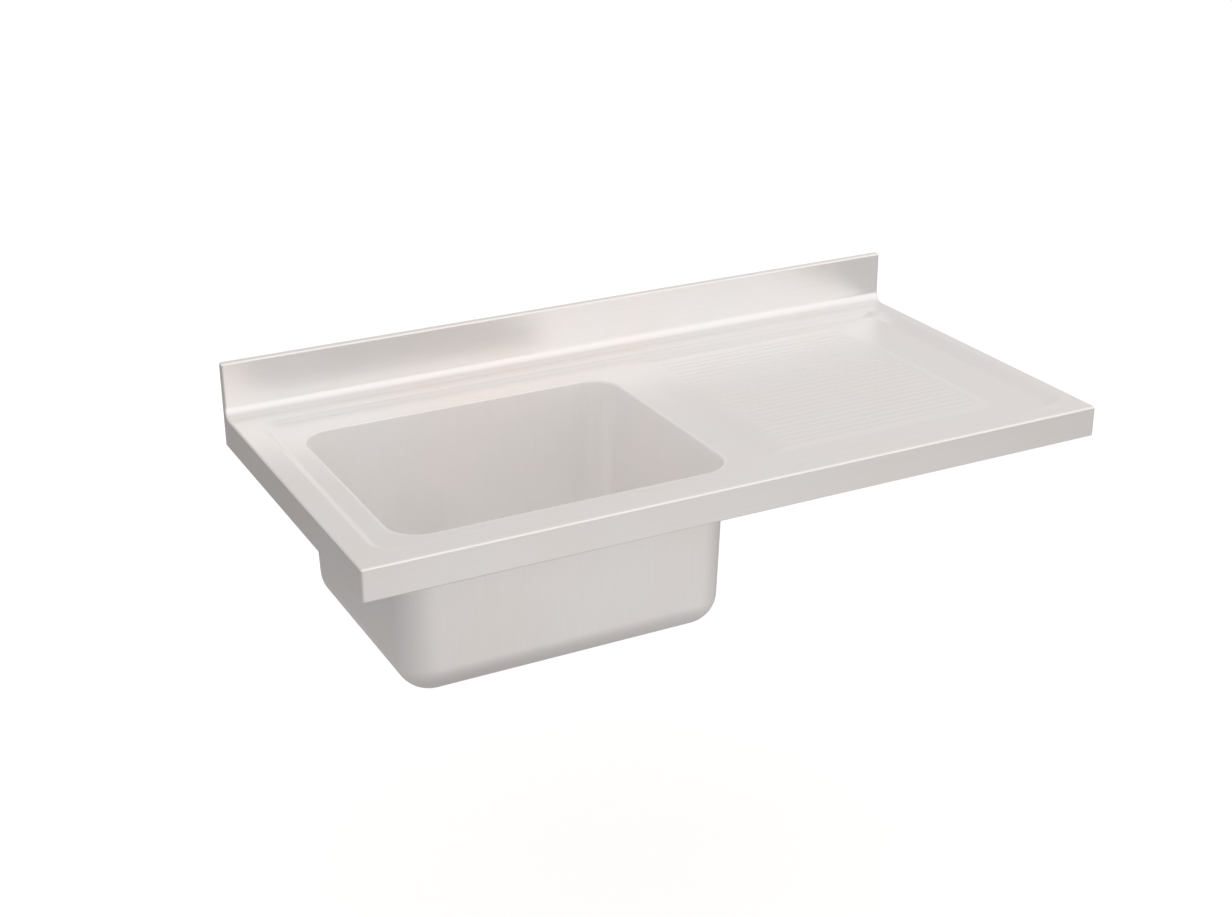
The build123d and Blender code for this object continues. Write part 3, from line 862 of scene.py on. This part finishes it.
# ---------------------------------------------------------------- skirts, stiffeners and pads
def smooth_copy(node, name):
    """A merged and smoothly shaded copy of a CAD node."""
    piece = frame["nodes"][node].copy()
    piece.data = piece.data.copy()
    piece.name = name
    piece.data.name = name
    piece.parent = None
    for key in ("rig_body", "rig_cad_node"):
        if key in piece:
            del piece[key]
    bpy.context.collection.objects.link(piece)
    only(piece)
    editing(True)
    bpy.ops.mesh.select_all(action="SELECT")
    bpy.ops.mesh.remove_doubles(threshold=MERGE)
    editing(False)
    smooth(piece)
    return piece


STIFFENERS = ("front_rail", "cross_channel_left", "cross_channel_middle", "cross_channel_right",
              "earth_tag")
PLATES = ("corner_plate_front_left", "corner_plate_front_right", "corner_plate_rear_left",
          "corner_plate_rear_right")
PADS = ("bowl_pad_left", "bowl_pad_right", "drainer_pad_left", "drainer_pad_right")


class SINK_OT_underside(bpy.types.Operator):
    """Finish the rear skirt, the stiffeners, the corner plates and the deadening pads."""

    bl_idname = "sink.underside"
    bl_label = "Underside"

    def execute(self, context):
        place(smooth_copy("rear_skirt", "rear_skirt_sheet"), TOP_BODY,
              material_of("satin_steel_along"), ("rear_skirt",))
        for node in STIFFENERS + PLATES:
            place(smooth_copy(node, f"{node}_steel"), TOP_BODY,
                  material_of("mill_steel"), (node,))
        for node in PADS:
            place(smooth_copy(node, f"{node}_sheet"), TOP_BODY,
                  material_of("deadening_bitumen"), (node,))
        return {"FINISHED"}


# ---------------------------------------------------------------- the waste
TURN_STEPS = 96
TURN_MERGE = 5e-6
SECTION_SEGMENTS = 3


def turned(name, section, soft, seat, closed=True):
    """Turns a section about the waste's axis: points of radius and height over the seat, in millimetres."""
    x, y = BOWL_CENTRE
    bpy.ops.object.select_all(action="DESELECT")
    bpy.ops.mesh.primitive_circle_add(vertices=len(section), radius=0.01, location=(x, y, seat))
    piece = named(name)
    for vertex, (radius, height) in zip(piece.data.vertices, section):
        vertex.co = (x + radius * MM, y, seat + height * MM)
    editing(True)
    if not closed:
        pick("EDGE", lambda e: all(near(v.co.x, x) for v in e.verts))
        bpy.ops.mesh.delete(type="EDGE")
    pick("VERT", lambda v: v.co.x > x + SLACK)
    bpy.ops.mesh.bevel(offset_type="OFFSET", offset=soft * MM, segments=SECTION_SEGMENTS, affect="VERTICES",
                       clamp_overlap=True)
    bpy.ops.mesh.select_all(action="SELECT")
    bpy.ops.mesh.spin(steps=TURN_STEPS, angle=2 * pi, center=(x, y, seat), axis=(0, 0, 1))
    bpy.ops.mesh.select_all(action="SELECT")
    bpy.ops.mesh.remove_doubles(threshold=TURN_MERGE)
    bpy.ops.mesh.normals_make_consistent(inside=False)
    editing(False)
    smooth(piece)
    return piece


# Radius from the waste's axis and height over its seat, in millimetres.
BODY_SECTION = ((56, 1.5), (56, 3), (42, 3), (42, -2), (39, -2), (39, -46.5), (22.4, -46.5), (22.4, -70),
                (23.9, -70), (23.9, -48), (40.5, -48), (40.5, -3.5), (43.5, -3.5), (43.5, 1.5))
FLANGE_SEAL_SECTION = ((44.5, 0), (54, 0), (54, 1.5), (44.5, 1.5))
CLAMP_SEAL_SECTION = ((44, -4.2), (56, -4.2), (56, -1.2), (44, -1.2))
WASHER_SECTION = ((44, -5.2), (55, -5.2), (55, -4.2), (44, -4.2))
POST_SECTION = ((0, -48), (6, -48), (6, -46.5), (3, -46.5), (3, -42.5), (8, -42.5), (8, -41), (3, -41),
                (3, -15), (7, -13), (11, -6), (10, -2), (7, -1), (0, -1))
PLUG_SECTION = ((3, -46.5), (25, -46.5), (27, -45.3), (26, -43.5), (9.5, -43.5), (9, -42.5), (3, -42.5))


class SINK_OT_waste(bpy.types.Operator):
    """Build the basket strainer waste: body, seals, nut, basket, post and plug."""

    bl_idname = "sink.waste"
    bl_label = "Waste"

    def execute(self, context):
        s = context.scene.sink_sheet
        b = context.scene.sink_bowl
        seat = s.skirt - s.tray_deep - b.deep - b.fall
        bright = material_of("bright_steel")
        rubber = material_of("black_rubber")
        place(turned("strainer_cup", BODY_SECTION, 0.5, seat), TOP_BODY, bright,
              ("strainer_body",))
        place(turned("flange_seal", FLANGE_SEAL_SECTION, 0.3, seat), TOP_BODY, rubber,
              ("body_gasket",))
        place(turned("clamp_seal", CLAMP_SEAL_SECTION, 0.6, seat), TOP_BODY, rubber,
              ("clamp_gasket",))
        place(turned("fibre_washer", WASHER_SECTION, 0.2, seat), TOP_BODY,
              material_of("brown_fibre"), ("slip_washer",))
        place(smooth_copy("lock_nut", "lugged_nut"), TOP_BODY, material_of("pale_plastic"),
              ("lock_nut",))
        place(smooth_copy("strainer_basket", "basket_cup"), BASKET_BODY, bright,
              ("strainer_basket",))
        place(turned("post_and_knob", POST_SECTION, 0.5, seat, closed=False), PLUG_BODY,
              bright, ("basket_post",))
        place(turned("rubber_plug", PLUG_SECTION, 0.3, seat), PLUG_BODY, rubber,
              ("basket_plug",))
        return {"FINISHED"}


# ---------------------------------------------------------------- stage
WHITE = (1.0, 1.0, 1.0)
LAMP_COLOUR = (1.0, 0.98, 0.96)
LAMP_AIM = (0, -0.3, 0)
# Name, place, width and height, and power in watts.
SOFTBOXES = (
    ("front_softbox", (1.2, -4.4, 2.2), (4.0, 2.4), 2.0),
    ("overhead_softbox", (-0.4, -0.2, 3.6), (2.4, 2.4), 1.0),
)
# The floor glows for the camera alone, so that it looks white.
FLOOR_GLOW = 0.42
# In reflections it glows with painted light, brightest at the front spot and fading with the distance, with
# a painted shadow under the object.
FRONT_SPOT = (0.4, -2.2)
FADE_FROM = 0.4
FADE_TO = 4.1
PAINTED_SHADOW_SPOT = (-0.3, -0.5)
PAINTED_SHADOW_REACH = 1.2
PAINTED_SHADOW_LEVEL = 0.62
# Share of the room band by height, from the horizon at 0 to overhead at 1.
ROOM_BAND = ((0.0, 0.52), (0.30, 0.40), (0.45, 0.25), (0.72, 0.48), (0.94, 0.0))
# Width of the picture in pixels, and of the camera's sensor in millimetres.
IMAGE_WIDE = 1232
SENSOR_WIDE = 36.0
CAMERA_REACH = 200.0
FLOOR_WIDE = 60.0


def camera_matrix(settings):
    """Camera turned by az to the right of +Y, dipped by el, then rolled."""
    az, el, roll = settings.turn, settings.dip, settings.roll
    ahead = Vector((sin(az) * cos(el), cos(az) * cos(el), -sin(el)))
    right = Vector((cos(az), -sin(az), 0))
    up = right.cross(ahead)
    side = cos(roll) * right + sin(roll) * up
    over = cos(roll) * up - sin(roll) * right
    matrix = Matrix((side, over, -ahead)).transposed().to_4x4()
    matrix.translation = Vector(settings.eye)
    return matrix


def softbox(name, spot, size, power):
    """Soft rectangular lamp that looks at the object."""
    bpy.ops.object.light_add(type="AREA", location=spot)
    lamp = bpy.context.object
    lamp.name = name
    lamp.rotation_euler = (Vector(LAMP_AIM) - Vector(spot)).to_track_quat("-Z", "Y").to_euler()
    lamp.data.shape = "RECTANGLE"
    lamp.data.size, lamp.data.size_y = size
    lamp.data.energy = power
    lamp.data.color = LAMP_COLOUR


def glowing(n, kind, tint, strength):
    """An Emission or Background shader."""
    node = n.add(kind)
    node.inputs["Color"].default_value = (*tint, 1.0)
    n.feed(node.inputs["Strength"], strength)
    return node.outputs[0]


def for_rays(n, kind, rest, these):
    """Shader these for one kind of ray, and shader rest for all others."""
    node = n.add("ShaderNodeMixShader")
    n.link(n.add("ShaderNodeLightPath").outputs[kind], node.inputs[0])
    n.link(rest, node.inputs[1])
    n.link(these, node.inputs[2])
    return node.outputs[0]


def distance(n, spot):
    """Distance from the shaded place to the spot."""
    node = n.add("ShaderNodeVectorMath", operation="DISTANCE")
    node.inputs[1].default_value = spot
    n.link(n.here, node.inputs[0])
    return node.outputs["Value"]


def white_floor(settings):
    """Pale floor that the camera sees as white, with the object's shadow kept; in reflections it glows with
    painted light and a painted shadow under the object.
    """
    n = Nodes(bpy.data.materials.new("pale_floor"))
    n.shader.inputs["Base Color"].default_value = (*settings.floor, 1.0)
    n.shader.inputs["Roughness"].default_value = 0.9
    lit = n.shader.outputs[0]
    seen = n.add("ShaderNodeAddShader")
    n.link(lit, seen.inputs[0])
    n.link(glowing(n, "ShaderNodeEmission", WHITE, FLOOR_GLOW), seen.inputs[1])
    # The glow that reflections see is painted light, fading away from the front spot.
    painted_glow_fade = n.ramp(distance(n, (*FRONT_SPOT, settings.floor_z)), FADE_FROM, FADE_TO, settings.floor_near,
                    settings.floor_far)
    # A painted shadow under the object darkens that glow.
    under = n.ramp(distance(n, (*PAINTED_SHADOW_SPOT, settings.floor_z)), 0.0, PAINTED_SHADOW_REACH, PAINTED_SHADOW_LEVEL, 1.0)
    painted_floor_glow = glowing(n, "ShaderNodeEmission", settings.room, n.maths("MULTIPLY", painted_glow_fade, under))
    for_camera = for_rays(n, "Is Camera Ray", lit, seen.outputs[0])
    for_gloss = for_rays(n, "Is Glossy Ray", for_camera, painted_floor_glow)
    n.link(for_gloss, n.tree.nodes["Material Output"].inputs["Surface"])
    return n.owner


def studio_world(settings):
    """Soft room light, by height and a little stronger to the front and right, and white for the camera."""
    n = Nodes(bpy.data.worlds.new("studio"))
    bpy.context.scene.world = n.owner
    lean = n.add("ShaderNodeVectorMath", operation="DOT_PRODUCT")
    lean.inputs[1].default_value = settings.room_lean
    n.link(n.here, lean.inputs[0])
    height = n.add("ShaderNodeSeparateXYZ")
    n.link(n.here, height.inputs["Vector"])
    band = n.add("ShaderNodeValToRGB")
    band.color_ramp.interpolation = "EASE"
    stops = band.color_ramp.elements
    given = len(stops)
    for number, (at, value) in enumerate(ROOM_BAND):
        stop = stops[number] if number < given else stops.new(at)
        stop.position = at
        stop.color = (value, value, value, 1.0)
    n.link(height.outputs["Z"], band.inputs["Fac"])
    lifted = n.maths("MULTIPLY_ADD", band.outputs["Color"], settings.room_band, settings.room_level)
    room = n.tree.nodes["Background"]
    room.inputs["Color"].default_value = (*settings.room, 1.0)
    n.link(n.maths("ADD", lean.outputs["Value"], lifted), room.inputs["Strength"])
    white = glowing(n, "ShaderNodeBackground", WHITE, 1.0)
    chosen = for_rays(n, "Is Camera Ray", room.outputs[0], white)
    n.link(chosen, n.tree.nodes["World Output"].inputs["Surface"])


class SINK_OT_stage(bpy.types.Operator):
    """Set up the camera, the pale floor, the soft lights and the room."""

    bl_idname = "sink.stage"
    bl_label = "Stage"

    def execute(self, context):
        settings = context.scene.sink_stage
        bpy.ops.object.select_all(action="DESELECT")
        bpy.ops.object.camera_add()
        camera = bpy.context.object
        camera.name = "view_camera"
        camera.matrix_world = camera_matrix(settings)
        camera.data.sensor_fit = "HORIZONTAL"
        camera.data.sensor_width = SENSOR_WIDE
        camera.data.lens = settings.focal_px * SENSOR_WIDE / IMAGE_WIDE
        camera.data.clip_end = CAMERA_REACH
        context.scene.camera = camera
        bpy.ops.mesh.primitive_plane_add(size=FLOOR_WIDE, location=(0, 0, settings.floor_z))
        floor = named("floor")
        floor.data.materials.append(white_floor(settings))
        for lamp in SOFTBOXES:
            softbox(*lamp)
        studio_world(settings)
        context.scene.view_settings.view_transform = "Standard"
        return {"FINISHED"}


# ---------------------------------------------------------------- panel and registration
class SINK_PT_panel(bpy.types.Panel):
    """Lists the sink's pieces and their sizes."""

    bl_label = "Catering sink top"
    bl_idname = "SINK_PT_panel"
    bl_space_type = "VIEW_3D"
    bl_region_type = "UI"
    bl_category = "Sink"

    def draw(self, context):
        for group in GROUPS:
            settings = getattr(context.scene, group)
            box = self.layout.box()
            for name in type(settings).__annotations__:
                box.prop(settings, name)
        for operator in OPERATORS:
            self.layout.operator(operator.bl_idname)


GROUPS = {
    "sink_sheet": SheetSizes,
    "sink_drainer": DrainerSizes,
    "sink_bowl": BowlSizes,
    "sink_finishes": Finishes,
    "sink_stage": StageSettings,
}
OPERATORS = (SINK_OT_finishes, SINK_OT_top, SINK_OT_bowl, SINK_OT_underside, SINK_OT_waste, SINK_OT_stage)


def register():
    for cls in (*GROUPS.values(), *OPERATORS, SINK_PT_panel):
        bpy.utils.register_class(cls)
    for name, cls in GROUPS.items():
        setattr(bpy.types.Scene, name, PointerProperty(type=cls))


def unregister():
    for name in GROUPS:
        delattr(bpy.types.Scene, name)
    for cls in reversed((*GROUPS.values(), *OPERATORS, SINK_PT_panel)):
        bpy.utils.unregister_class(cls)


def main():
    register()
    bpy.ops.sink.finishes()
    bpy.ops.sink.top()
    bpy.ops.sink.bowl()
    bpy.ops.sink.underside()
    bpy.ops.sink.waste()
    bpy.ops.sink.stage()
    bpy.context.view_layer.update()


if __name__ == "__main__":
    main()
